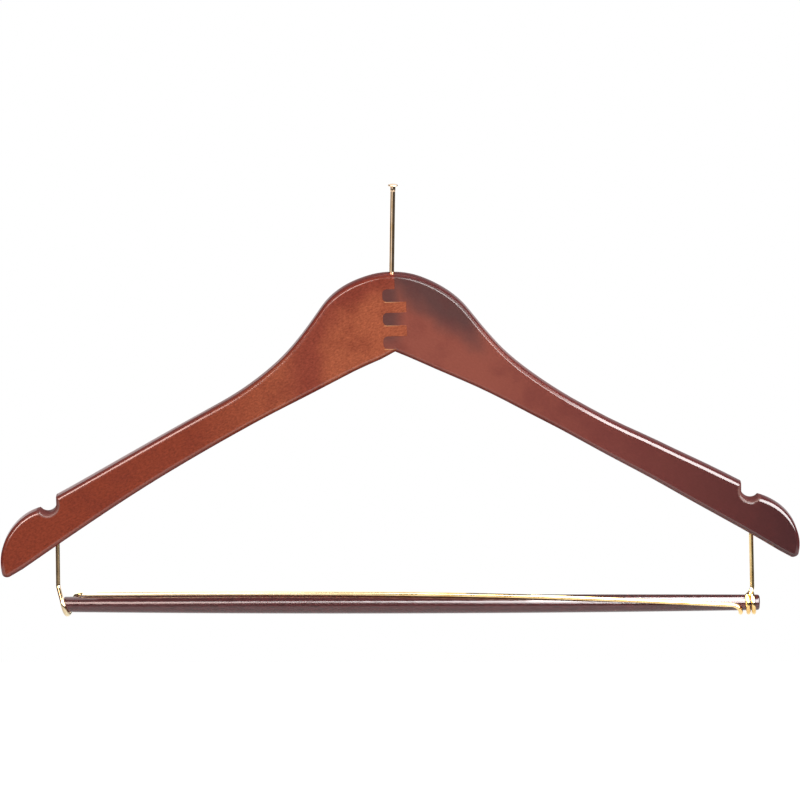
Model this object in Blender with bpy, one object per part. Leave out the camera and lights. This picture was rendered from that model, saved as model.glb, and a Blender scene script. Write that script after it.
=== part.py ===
"""A wooden suit hanger: two varnished arms finger-jointed at the neck, a captive brass pin in place of a
hook, a turned trouser bar slung on two brass wires, and a springy locking wire wound along the bar.

Frame: metres, +Z up, +X to the right as the hanger is looked at, +Y towards its back. The origin is the
underside of the pin's head, where the rail's ring carries the hanger. The pin hangs plumb and the bar is
level, while the wooden body hangs a little down on its left, as it does on the real one.
"""

import math

import bmesh
import bpy
import numpy as np
from mathutils import Matrix, Vector

MM = 0.001

# Fits shared by all pieces
SEAT_GAP = 0.3 * MM
CUT_OVERRUN = 20 * MM
WELD = 0.001 * MM
LEAST_TURN = math.radians(0.5)
SMOOTH_ANGLE = math.radians(35)

# Wooden body, in its own frame: the crest of the neck is the zero of both directions
BODY_WIDTH = 431.8 * MM
BODY_THICKNESS = 12.7 * MM
BODY_TILT = math.radians(1.36)
EDGE_ROUNDING = 2.2 * MM
EDGE_SEGMENTS = 3
CREST_RADIUS = 48.4 * MM
SHOULDER_ANGLE = math.radians(53.8)
FLANK_LENGTH = 6.2 * MM
SHOULDER_BLEND_RADIUS = 158 * MM
ARM_TOP_ANGLE = math.radians(28)
NECK_DEPTH = 41.8 * MM
LOWER_EDGE_RISE = 5.4 * MM
TIP_START_ANGLE = math.radians(14.3)
TIP_SIDE_LEAN = math.radians(10)
TIP_SIDE_LENGTH = 4.7 * MM
TIP_CORNER_RADIUS = 2.6 * MM
ARC_ERROR = 0.05 * MM
LOWER_EDGE_STEPS = 16

# The arms are shaped by hand: two thirds out, the left is this much higher and the right this much lower
ARM_BOW = 0.9 * MM

# Strap notch in the top of each shoulder
NOTCH_INSET = 26.2 * MM
NOTCH_RADIUS = 5.0 * MM
NOTCH_LIP_ANGLE = math.radians(-37.6)
NOTCH_WALL_SHARE = 0.78
NOTCH_STEPS = 8

# Finger joint in the neck: the right arm has one finger more than the left
SEAM_OFFSET = 0.6 * MM
FINGER_TOP_DROP = 7.8 * MM
FINGER_BOTTOM_RISE = 1.8 * MM
RIGHT_FINGERS = 3
FINGER_REACH_LEFT = 5.2 * MM
FINGER_REACH_RIGHT = 7.5 * MM
FINGER_CORNER_RADIUS = 2.4 * MM

# Captive pin, with the nail head that the rail's ring holds
PIN_LENGTH_SHOWN = 47.2 * MM
PIN_LENGTH_HIDDEN = 24 * MM
PIN_RADIUS = 1.33 * MM
PIN_TIP_TAPER = 1.6 * MM
PIN_TIP_RADIUS = 0.66 * MM
PIN_COLLAR_RADIUS = 1.43 * MM
PIN_COLLAR_LENGTH = 2.6 * MM
PIN_HEAD_RADIUS = 2.65 * MM
PIN_HEAD_RIM = 0.75 * MM
PIN_HEAD_DOME = 0.45 * MM
PIN_DOME_STEPS = 4
PIN_SIDES = 24

# Trouser bar: a dowel turned a little thicker in the middle, hung this far below the left arm
BAR_HANG = 33.9 * MM
BAR_MIDDLE_RADIUS = 4.75 * MM
BAR_END_RADIUS = 4.2 * MM
BAR_END_ROUNDING = 1.2 * MM
BAR_END_STEPS = 3
BAR_LEFT_INSET = 2.85 * MM
BAR_RIGHT_OVERHANG = 4.6 * MM
BAR_STEPS = 14
BAR_SIDES = 32

# Brass wires
WIRE_RADIUS = 1.19 * MM
WIRE_SOCKET_DEPTH = 11 * MM
WIRE_ELBOW_RADIUS = 4 * MM
WIRE_BEND_RADIUS = 12 * MM
ROUTE_STEP = math.radians(15)

# Left support wire, whose wrap around the bar carries on as the locking wire
LEFT_WIRE_INSET = 34.4 * MM
LEFT_ELBOW_RISE = 10 * MM
WRAP_LEAN = math.radians(15)
WRAP_END_ANGLE = math.radians(360)
WRAP_RUN_OUT_RADIUS = 9 * MM

# Locking wire: from the top of the bar to its front, then hooked under it
LOCK_SWING_GAP = 0.5 * MM
LOCK_COIL_GAP = 0.6 * MM
LOCK_HOOK_START = 6.5 * MM
LOCK_HOOK_RADIUS = 5.5 * MM
LOCK_HOOK_END_ANGLE = math.radians(186)
LOCK_FRONT_ANGLE = math.radians(90)
LOCK_WIND_POWER = 2.2
LOCK_STEPS = 60

# Right support wire, with its coil round the bar
RIGHT_WIRE_INSET = 22.1 * MM
RIGHT_WIRE_DRIFT = 1.4 * MM
RIGHT_ELBOW_RISE = 8 * MM
COIL_GAP = 0.43 * MM
COIL_END_ANGLE = math.radians(690)

# Finishes: base colour, roughness, metallic
FINISHES = {
    "left_arm": ((0.30, 0.055, 0.024), 0.30, 0.0),
    "right_arm": ((0.16, 0.036, 0.026), 0.28, 0.0),
    "trouser_bar": ((0.11, 0.032, 0.034), 0.35, 0.0),
    "brass": ((0.80, 0.56, 0.27), 0.22, 1.0),
}


def clear_scene():
    for obj in list(bpy.data.objects):
        bpy.data.objects.remove(obj, do_unlink=True)


def make_material(name, finish):
    """A plain material of its own for one piece."""
    colour, roughness, metallic = FINISHES[finish]
    material = bpy.data.materials.new(name)
    material.use_nodes = True
    shader = material.node_tree.nodes["Principled BSDF"]
    shader.inputs["Base Color"].default_value = (*colour, 1.0)
    shader.inputs["Roughness"].default_value = roughness
    shader.inputs["Metallic"].default_value = metallic
    return material


def add_mesh_object(name, mesh_data, finish=None):
    """Turns a bmesh into an object, smooth where its faces meet gently."""
    bmesh.ops.recalc_face_normals(mesh_data, faces=mesh_data.faces)
    mesh = bpy.data.meshes.new(name)
    mesh_data.to_mesh(mesh)
    mesh_data.free()
    mesh.shade_smooth()
    mesh.set_sharp_from_angle(angle=SMOOTH_ANGLE)
    obj = bpy.data.objects.new(name, mesh)
    bpy.context.scene.collection.objects.link(obj)
    if finish:
        mesh.materials.append(make_material(name, finish))
    return obj


def as_cutter(obj):
    """Marks a helper that shapes other pieces and isn't one itself."""
    obj.hide_render = True
    obj.display_type = "WIRE"
    return obj


def cut(obj, operation, cutter):
    modifier = obj.modifiers.new(f"{operation.lower()}_{cutter.name}", "BOOLEAN")
    modifier.solver = "EXACT"
    modifier.operation = operation
    modifier.object = cutter


def rounded_path(corners, step=None):
    """Points along straight runs whose corners are replaced by arcs.

    corners holds (point, radius) pairs, with a radius of zero where the corner stays sharp, and the first
    and the last point are ends. It works in two or three dimensions. Without a step, the facets of each
    arc stay within the arc error of the true curve.
    """
    points = [corners[0][0].copy()]
    for (before, _), (corner, radius), (after, _) in zip(corners, corners[1:], corners[2:]):
        back = (before - corner).normalized()
        on = (after - corner).normalized()
        turn = math.pi - back.angle(on)
        if not radius or turn < LEAST_TURN:
            points.append(corner.copy())
            continue
        tangent_length = radius * math.tan(turn / 2)
        centre = corner + (back + on).normalized() * (radius / math.cos(turn / 2))
        start = corner + back * tangent_length - centre
        end = corner + on * tangent_length - centre
        steps = max(2, math.ceil(turn / (step or 2 * math.acos(1 - ARC_ERROR / radius))))
        for index in range(steps + 1):
            share = index / steps
            weight_start = math.sin((1 - share) * turn) / math.sin(turn)
            weight_end = math.sin(share * turn) / math.sin(turn)
            points.append(centre + start * weight_start + end * weight_end)
    points.append(corners[-1][0].copy())
    return [point for point, after in zip(points, points[1:]) if (after - point).length > WELD] + points[-1:]


def down_slope(start, angle, reach):
    """The point at a given reach on the line that falls away from a start, going right."""
    return Vector((reach, start.y - (reach - start.x) * math.tan(angle)))


def upper_corners():
    """Corners and radii from the neck's top, down the flank and the arm, past the notch to the tip."""
    crest = Vector((0, -CREST_RADIUS + CREST_RADIUS / math.cos(SHOULDER_ANGLE)))
    crest_tangent = CREST_RADIUS * math.tan(SHOULDER_ANGLE)
    blend_tangent = SHOULDER_BLEND_RADIUS * math.tan((SHOULDER_ANGLE - ARM_TOP_ANGLE) / 2)
    flank = crest_tangent + FLANK_LENGTH + blend_tangent
    shoulder = down_slope(crest, SHOULDER_ANGLE, flank * math.cos(SHOULDER_ANGLE))
    notch_reach = BODY_WIDTH / 2 - NOTCH_INSET
    notch_corner = down_slope(shoulder, ARM_TOP_ANGLE, notch_reach - NOTCH_RADIUS)
    corners = [(crest, CREST_RADIUS), (shoulder, SHOULDER_BLEND_RADIUS), (notch_corner, 0)]
    notch_centre = Vector((notch_reach, notch_corner.y - NOTCH_RADIUS * NOTCH_WALL_SHARE))
    sweep = math.pi + NOTCH_LIP_ANGLE
    for index in range(NOTCH_STEPS + 1):
        angle = math.pi + sweep * index / NOTCH_STEPS
        point = notch_centre + NOTCH_RADIUS * Vector((math.cos(angle), math.sin(angle)))
        corners.append((point, 0))
    lip = corners[-1][0]
    start = math.pi / 2 - TIP_START_ANGLE
    radius = (BODY_WIDTH / 2 - lip.x) / (1 - math.cos(start))
    centre = lip - radius * Vector((math.cos(start), math.sin(start)))
    middle = (start - TIP_SIDE_LEAN) / 2
    reach = radius / math.cos((start + TIP_SIDE_LEAN) / 2)
    tip_top = centre + reach * Vector((math.cos(middle), math.sin(middle)))
    side = Vector((-math.sin(TIP_SIDE_LEAN), -math.cos(TIP_SIDE_LEAN)))
    side_start = centre + radius * Vector((math.cos(TIP_SIDE_LEAN), -math.sin(TIP_SIDE_LEAN)))
    tip_bottom = side_start + side * TIP_SIDE_LENGTH
    return corners + [(tip_top, radius), (tip_bottom, TIP_CORNER_RADIUS)]


def lower_edge():
    """The gently arched lower edge, from the tip's bottom corner to the apex of the neck."""
    tip = upper_corners()[-1][0]
    apex = Vector((0, -NECK_DEPTH))
    chord = apex - tip
    upward = Vector((chord.y, -chord.x)).normalized()
    points = []
    for index in range(LOWER_EDGE_STEPS + 1):
        share = index / LOWER_EDGE_STEPS
        rise = LOWER_EDGE_RISE * (1 - (2 * share - 1) ** 2)
        points.append(tip + chord * share + upward * rise)
    return points


def bowed(point):
    """An outline point after the arms' bow, which fades out at the neck and at the tips."""
    share = abs(point.x) / (BODY_WIDTH / 2)
    bow = ARM_BOW * share**2 * (1 - share) * 27 / 4
    return Vector((point.x, point.y - math.copysign(bow, point.x)))


def body_outline():
    """The whole body's closed outline: the right half as drawn, then the left as its mirror image."""
    crest, *rest = upper_corners() + [(point, 0) for point in lower_edge()[1:]]
    mirrored = [(Vector((-point.x, point.y)), radius) for point, radius in rest]
    apex = rest[-1]
    ring = [apex] + mirrored[-2::-1] + [crest] + rest
    return [bowed(point) for point in rounded_path(ring)[:-1]]


def extrude_outline(points, depth):
    """A flat plate of the outline, standing in the XZ plane and centred on it."""
    mesh_data = bmesh.new()
    ring = [mesh_data.verts.new((point.x, -depth / 2, point.y)) for point in points]
    face = mesh_data.faces.new(ring)
    grown = bmesh.ops.extrude_face_region(mesh_data, geom=[face])
    moved = [item for item in grown["geom"] if isinstance(item, bmesh.types.BMVert)]
    bmesh.ops.translate(mesh_data, verts=moved, vec=(0, depth, 0))
    return mesh_data


def body_mesh():
    """The glued-up body before it is parted: the plate with its front and back edges rounded over."""
    mesh_data = extrude_outline(body_outline(), BODY_THICKNESS)
    rims = [
        edge
        for edge in mesh_data.edges
        if abs(edge.verts[0].co.y - edge.verts[1].co.y) < BODY_THICKNESS / 2
    ]
    bmesh.ops.bevel(
        mesh_data,
        geom=rims,
        offset=EDGE_ROUNDING,
        offset_type="OFFSET",
        segments=EDGE_SEGMENTS,
        profile=0.5,
        affect="EDGES",
        clamp_overlap=False,
        material=-1,
    )
    return mesh_data


def joint_region(name, grow):
    """The space of the right arm and its fingers, grown or shrunk by half the glue line's gap."""
    reach = BODY_WIDTH
    finger_height = (NECK_DEPTH - FINGER_TOP_DROP - FINGER_BOTTOM_RISE) / (2 * RIGHT_FINGERS - 1)
    seam = SEAM_OFFSET - grow
    left = -FINGER_REACH_LEFT - grow
    right = FINGER_REACH_RIGHT - grow
    corners = [(Vector((reach, reach)), 0), (Vector((seam, reach)), 0)]
    for index in range(RIGHT_FINGERS):
        top = -FINGER_TOP_DROP - 2 * index * finger_height + grow
        bottom = top - finger_height - 2 * grow
        root_above = seam if index == 0 else right
        root_below = seam if index == RIGHT_FINGERS - 1 else right
        corners += [
            (Vector((root_above, top)), 0),
            (Vector((left, top)), FINGER_CORNER_RADIUS),
            (Vector((left, bottom)), FINGER_CORNER_RADIUS),
            (Vector((root_below, bottom)), 0),
        ]
    corners += [(Vector((seam, -reach)), 0), (Vector((reach, -reach)), 0)]
    plate = extrude_outline(rounded_path(corners, ROUTE_STEP), BODY_THICKNESS + 2 * CUT_OVERRUN)
    return as_cutter(add_mesh_object(name, plate))


def drill(name, x, bottom, top, radius):
    """A vertical round cutter in the body's middle plane."""
    mesh_data = bmesh.new()
    bmesh.ops.create_cone(
        mesh_data,
        cap_ends=True,
        segments=PIN_SIDES,
        radius1=radius,
        radius2=radius,
        depth=top - bottom,
        matrix=Matrix.Translation((x, 0, (top + bottom) / 2)),
    )
    return as_cutter(add_mesh_object(name, mesh_data))


def lower_edge_height(x):
    """How high the body's lower edge is, in the world, over a place along the bar."""
    turn = Matrix.Rotation(BODY_TILT, 2)
    side = 1 if x > 0 else -1
    edge = [turn @ bowed(Vector((side * p.x, p.y))) for p in lower_edge()]
    edge.sort(key=lambda point: point.x)
    return float(np.interp(x, [p.x for p in edge], [p.y for p in edge])) - PIN_LENGTH_SHOWN


def spin_profile(name, profile, sides, finish, along_x=False):
    """Turns a profile of (radius, height) pairs about its axis into a closed solid."""
    mesh_data = bmesh.new()
    verts = [mesh_data.verts.new((radius, 0, height)) for radius, height in profile]
    edges = [mesh_data.edges.new(pair) for pair in zip(verts, verts[1:])]
    bmesh.ops.spin(
        mesh_data,
        geom=verts + edges,
        axis=(0, 0, 1),
        cent=(0, 0, 0),
        steps=sides,
        angle=math.tau,
        use_merge=True,
    )
    bmesh.ops.remove_doubles(mesh_data, verts=mesh_data.verts, dist=WELD)
    if along_x:
        bmesh.ops.rotate(mesh_data, verts=mesh_data.verts, matrix=Matrix.Rotation(math.pi / 2, 3, "Y"))
    return add_mesh_object(name, mesh_data, finish)


def left_wire_place():
    return LEFT_WIRE_INSET - BODY_WIDTH / 2


def right_wire_place():
    return BODY_WIDTH / 2 - RIGHT_WIRE_INSET


def bar_height():
    """The height of the bar's axis."""
    return lower_edge_height(left_wire_place()) - BAR_HANG


def bar_ends():
    return left_wire_place() + BAR_LEFT_INSET, right_wire_place() + BAR_RIGHT_OVERHANG


def bar_radius(x):
    """The dowel's radius at a place along it, fullest in the middle."""
    left, right = bar_ends()
    share = (2 * x - left - right) / (right - left)
    return BAR_END_RADIUS + (BAR_MIDDLE_RADIUS - BAR_END_RADIUS) * max(0, 1 - share**2)


def winding_radius(x):
    """How far the middle of a wire lies from the bar's axis where it hugs the bar."""
    return bar_radius(x) + SEAT_GAP + WIRE_RADIUS


def wound_point(x, angle):
    """A point of a wire's centre line on the bar, its angle counted from the top over to the front."""
    radius = winding_radius(x)
    return Vector((x, -radius * math.sin(angle), bar_height() + radius * math.cos(angle)))


def wind(corners, reference):
    """Rolls a route drawn flat, as (along, around) with rounded corners, on to the bar.

    reference is the winding radius that turns a flat distance around the bar into an angle.
    """
    flat = []
    for start, end in zip(rounded_path(corners, ROUTE_STEP), rounded_path(corners, ROUTE_STEP)[1:]):
        pieces = max(1, math.ceil(abs(end.y - start.y) / (reference * ROUTE_STEP)))
        flat += [start.lerp(end, index / pieces) for index in range(pieces)]
    flat.append(corners[-1][0])
    return [wound_point(point.x, point.y / reference) for point in flat]


def hanging_part(place, drift, rise, first_wound):
    """The wire from its socket in the arm, down with a slight drift and round the elbow on to the bar."""
    exit_height = lower_edge_height(place)
    corners = [
        (Vector((place, 0, exit_height + WIRE_SOCKET_DEPTH)), 0),
        (Vector((place, 0, exit_height - SEAT_GAP)), WIRE_BEND_RADIUS),
        (Vector((place + drift, 0, bar_height() + rise)), WIRE_ELBOW_RADIUS),
        (first_wound, 0),
    ]
    return rounded_path(corners, ROUTE_STEP)[:-1]


def contact_angle(x, rise):
    """Where a wire that leaves the middle plane a rise above the bar's axis first lies on the bar."""
    return math.acos(winding_radius(x) / rise)


def left_wire_route():
    """Down from the left arm, past the end of the bar, three quarters round it and out along its top."""
    place = left_wire_place()
    start_angle = contact_angle(place, LEFT_ELBOW_RISE)
    around = winding_radius(bar_ends()[0])
    slack = math.sqrt(LEFT_ELBOW_RISE**2 - around**2)
    lean = math.tan(WRAP_LEAN)
    start = Vector((place + lean * slack, start_angle * around))
    top = WRAP_END_ANGLE * around
    turn = Vector((start.x + lean * (top - start.y), top))
    end = Vector((turn.x + WRAP_RUN_OUT_RADIUS + 2 * WIRE_RADIUS, top))
    wound = wind([(start, 0), (turn, WRAP_RUN_OUT_RADIUS), (end, 0)], around)
    return hanging_part(place, 0, LEFT_ELBOW_RISE, wound[0]) + wound


def lock_wire_route():
    """From the end of the wrap, along the bar while it winds from top to front, and hooked under."""
    start = left_wire_route()[-1].x + LOCK_SWING_GAP
    hook = coil_point(3 * math.pi).x - 2 * WIRE_RADIUS - LOCK_COIL_GAP
    hook_start = hook - LOCK_HOOK_START
    around = winding_radius(hook)
    corners = []
    for index in range(LOCK_STEPS + 1):
        share = index / LOCK_STEPS
        angle = LOCK_FRONT_ANGLE * share**LOCK_WIND_POWER
        corners.append((Vector((start + (hook_start - start) * share, angle * around)), 0))
    corners.append((Vector((hook, LOCK_FRONT_ANGLE * around)), LOCK_HOOK_RADIUS))
    corners.append((Vector((hook, LOCK_HOOK_END_ANGLE * around)), 0))
    return wind(corners, around)


def coil_point(angle):
    """Where the right wire's close coil, which works to the left, is on the unrolled bar at an angle."""
    elbow = right_wire_place() + RIGHT_WIRE_DRIFT
    around = winding_radius(elbow)
    slack = math.sqrt(RIGHT_ELBOW_RISE**2 - around**2)
    start_angle = contact_angle(elbow, RIGHT_ELBOW_RISE)
    lean = (2 * WIRE_RADIUS + COIL_GAP) / (math.tau * around)
    along = slack + (angle - start_angle) * around
    return Vector((elbow - lean * along, angle * around))


def right_wire_route():
    """Down from the right arm and twice round the bar in the coil."""
    place = right_wire_place()
    elbow = place + RIGHT_WIRE_DRIFT
    start = coil_point(contact_angle(elbow, RIGHT_ELBOW_RISE))
    wound = wind([(start, 0), (coil_point(COIL_END_ANGLE), 0)], winding_radius(elbow))
    return hanging_part(place, RIGHT_WIRE_DRIFT, RIGHT_ELBOW_RISE, wound[0]) + wound


def least_gap(route):
    """The narrowest gap between two stretches of one wire that are more than half a turn apart."""
    points = np.array(route)
    along = np.concatenate([[0], np.cumsum(np.linalg.norm(np.diff(points, axis=0), axis=1))])
    apart = np.linalg.norm(points[:, None] - points[None], axis=2)
    far = np.abs(along[:, None] - along[None]) > math.pi * winding_radius(0)
    return apart[far].min() - 2 * WIRE_RADIUS


def make_tube(name, route, sides_step, axis_point=None):
    """A round wire along a route, with its object's origin on its joint's axis if it has one."""
    origin = axis_point or Vector((0, 0, 0))
    curve = bpy.data.curves.new(name, "CURVE")
    curve.dimensions = "3D"
    curve.bevel_depth = WIRE_RADIUS
    curve.bevel_resolution = sides_step
    curve.use_fill_caps = True
    spline = curve.splines.new("POLY")
    spline.points.add(len(route) - 1)
    for point, place in zip(spline.points, route):
        point.co = (*(place - origin), 1)
    spline.use_smooth = True
    curve.materials.append(make_material(name, "brass"))
    obj = bpy.data.objects.new(name, curve)
    obj.location = origin
    bpy.context.scene.collection.objects.link(obj)
    return obj


def make_arms():
    """Both arms, parted along the finger joint and drilled for the pin and the wires."""
    frame = bpy.data.objects.new("body_frame", None)
    bpy.context.scene.collection.objects.link(frame)
    frame.location = (0, 0, -PIN_LENGTH_SHOWN)
    frame.rotation_euler = (0, -BODY_TILT, 0)
    left = add_mesh_object("left_arm", body_mesh(), "left_arm")
    right = add_mesh_object("right_arm", body_mesh(), "right_arm")
    left_region = joint_region("left_arm_joint_cutter", SEAT_GAP / 2)
    right_region = joint_region("right_arm_joint_cutter", -SEAT_GAP / 2)
    for obj in (left, right, left_region, right_region):
        obj.parent = frame
    cut(left, "DIFFERENCE", left_region)
    cut(right, "INTERSECT", right_region)
    crest = -PIN_LENGTH_SHOWN
    hole_bottom = crest - PIN_LENGTH_HIDDEN - SEAT_GAP
    pin_hole = drill("pin_hole", 0, hole_bottom, crest + CUT_OVERRUN, PIN_RADIUS + SEAT_GAP)
    cut(left, "DIFFERENCE", pin_hole)
    cut(right, "DIFFERENCE", pin_hole)
    for arm, place, name in ((left, left_wire_place(), "left"), (right, right_wire_place(), "right")):
        edge = lower_edge_height(place)
        hole_top = edge + WIRE_SOCKET_DEPTH + SEAT_GAP
        hole = drill(f"{name}_wire_hole", place, edge - CUT_OVERRUN, hole_top, WIRE_RADIUS + SEAT_GAP)
        cut(arm, "DIFFERENCE", hole)


def make_pin():
    """The captive pin: a low domed head, a short collar, the shank and its tapered hidden end."""
    profile = [(0, PIN_HEAD_RIM + PIN_HEAD_DOME)]
    for index in range(1, PIN_DOME_STEPS + 1):
        share = index / PIN_DOME_STEPS
        height = PIN_HEAD_RIM + PIN_HEAD_DOME * (1 - share**2)
        profile.append((PIN_HEAD_RADIUS * share, height))
    bottom = -PIN_LENGTH_SHOWN - PIN_LENGTH_HIDDEN
    profile += [
        (PIN_HEAD_RADIUS, 0),
        (PIN_COLLAR_RADIUS, 0),
        (PIN_COLLAR_RADIUS, -PIN_COLLAR_LENGTH),
        (PIN_RADIUS, -PIN_COLLAR_LENGTH),
        (PIN_RADIUS, bottom + PIN_TIP_TAPER),
        (PIN_TIP_RADIUS, bottom),
        (0, bottom),
    ]
    spin_profile("security_pin", profile, PIN_SIDES, "brass")


def make_bar():
    """The turned trouser bar, lying level under the body, with softened ends."""
    left, right = bar_ends()
    middle = (left + right) / 2
    half = (right - left) / 2
    flat_radius = BAR_END_RADIUS - BAR_END_ROUNDING
    end_profile = [(0, -half)]
    for index in range(BAR_END_STEPS + 1):
        angle = math.pi / 2 * index / BAR_END_STEPS
        radius = flat_radius + BAR_END_ROUNDING * math.sin(angle)
        end_profile.append((radius, -half + BAR_END_ROUNDING * (1 - math.cos(angle))))
    inner = half - BAR_END_ROUNDING
    profile = list(end_profile)
    for index in range(1, BAR_STEPS):
        height = inner * (2 * index / BAR_STEPS - 1)
        profile.append((bar_radius(middle + height), height))
    profile += [(radius, -height) for radius, height in reversed(end_profile)]
    bar = spin_profile("trouser_bar", profile, BAR_SIDES, "trouser_bar", along_x=True)
    bar.location = (middle, 0, bar_height())


def make_wires():
    """The two support wires and the locking wire, which swings about the end of the left wrap."""
    left_route = left_wire_route()
    lock_route = lock_wire_route()
    right_route = right_wire_route()
    make_tube("left_support_wire", left_route, 1)
    make_tube("right_support_wire", right_route, 1)
    make_tube("lock_wire", lock_route, 2, axis_point=lock_route[0].copy())
    for name, route in (("left", left_route), ("right", right_route)):
        print(f"least gap of the {name} support wire to itself: {least_gap(route) / MM:.2f} mm")


def main():
    clear_scene()
    make_arms()
    make_pin()
    make_bar()
    make_wires()


if __name__ == "__main__":
    main()
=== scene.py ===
"""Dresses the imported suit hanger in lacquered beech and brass, and sets it in a plain white studio.

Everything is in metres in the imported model's own frame: the underside of the pin's head is the origin, +X
runs to the right along the trouser bar, +Y to the back and +Z up the plumb pin.
"""

import logging
import math
from dataclasses import dataclass, field
from enum import Enum

import bmesh
import bpy
from bmesh.types import BMEdge, BMesh, BMVert
from bpy.types import Material, NodeSocket, Object, World
from mathutils import Matrix, Vector


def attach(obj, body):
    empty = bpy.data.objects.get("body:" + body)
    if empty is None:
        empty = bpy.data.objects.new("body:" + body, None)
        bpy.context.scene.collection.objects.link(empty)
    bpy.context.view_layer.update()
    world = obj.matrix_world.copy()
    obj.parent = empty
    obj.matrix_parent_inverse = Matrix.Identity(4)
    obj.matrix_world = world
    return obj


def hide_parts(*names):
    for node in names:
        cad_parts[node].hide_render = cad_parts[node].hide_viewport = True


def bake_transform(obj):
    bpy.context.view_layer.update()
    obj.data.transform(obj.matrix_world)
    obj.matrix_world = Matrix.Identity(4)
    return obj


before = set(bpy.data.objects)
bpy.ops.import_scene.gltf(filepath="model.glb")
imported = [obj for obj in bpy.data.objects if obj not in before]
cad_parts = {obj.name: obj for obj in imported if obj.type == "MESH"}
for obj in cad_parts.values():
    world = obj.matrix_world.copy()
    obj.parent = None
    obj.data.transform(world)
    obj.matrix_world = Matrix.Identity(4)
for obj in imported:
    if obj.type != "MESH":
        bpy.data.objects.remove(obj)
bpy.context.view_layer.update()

MM = 0.001
# Points that are closer than this are one.
WELD = 0.001 * MM
# Straight runs of wire get a ring this close to each end, or the bend's shading spreads along them.
RUN_END = 0.15 * MM
# How much of the pin shows above the neck.
PIN_SHOWN = 47.2 * MM
# Where nearly all of a noise pattern's values lie.
NOISE_SPAN = (0.3, 0.7)
# How lacquered wood and its lacquer behave: matt underneath, and a coat as dense as a hard gloss lacquer.
WOOD_ROUGHNESS = 0.5
LACQUER_IOR = 1.58
WHITE = "#ffffff"

# Where something starts and ends, and a number that a node gets as a value or from another node.
Span = tuple[float, float]
Number = NodeSocket | float

log = logging.getLogger("hanger")


class Body(Enum):
    """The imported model's rigid bodies."""

    HANGER = "hanger"
    LOCKING_WIRE = "locking_wire"


class Side(Enum):
    """Which arm of the hanger, as it is looked at, with the sign of its direction along X."""

    LEFT = -1
    RIGHT = 1


def linear(code: str) -> tuple[float, float, float, float]:
    """Turns an sRGB hex colour into the linear colour that a shader takes.

    Args:
        code: The colour as "#rrggbb".

    Returns:
        Its linear red, green and blue, and an alpha of one.
    """
    shares = [int(code[start : start + 2], 16) / 255 for start in (1, 3, 5)]
    red, green, blue = [
        share / 12.92 if share <= 0.04045 else ((share + 0.055) / 1.055) ** 2.4 for share in shares
    ]
    return red, green, blue, 1.0


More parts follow.
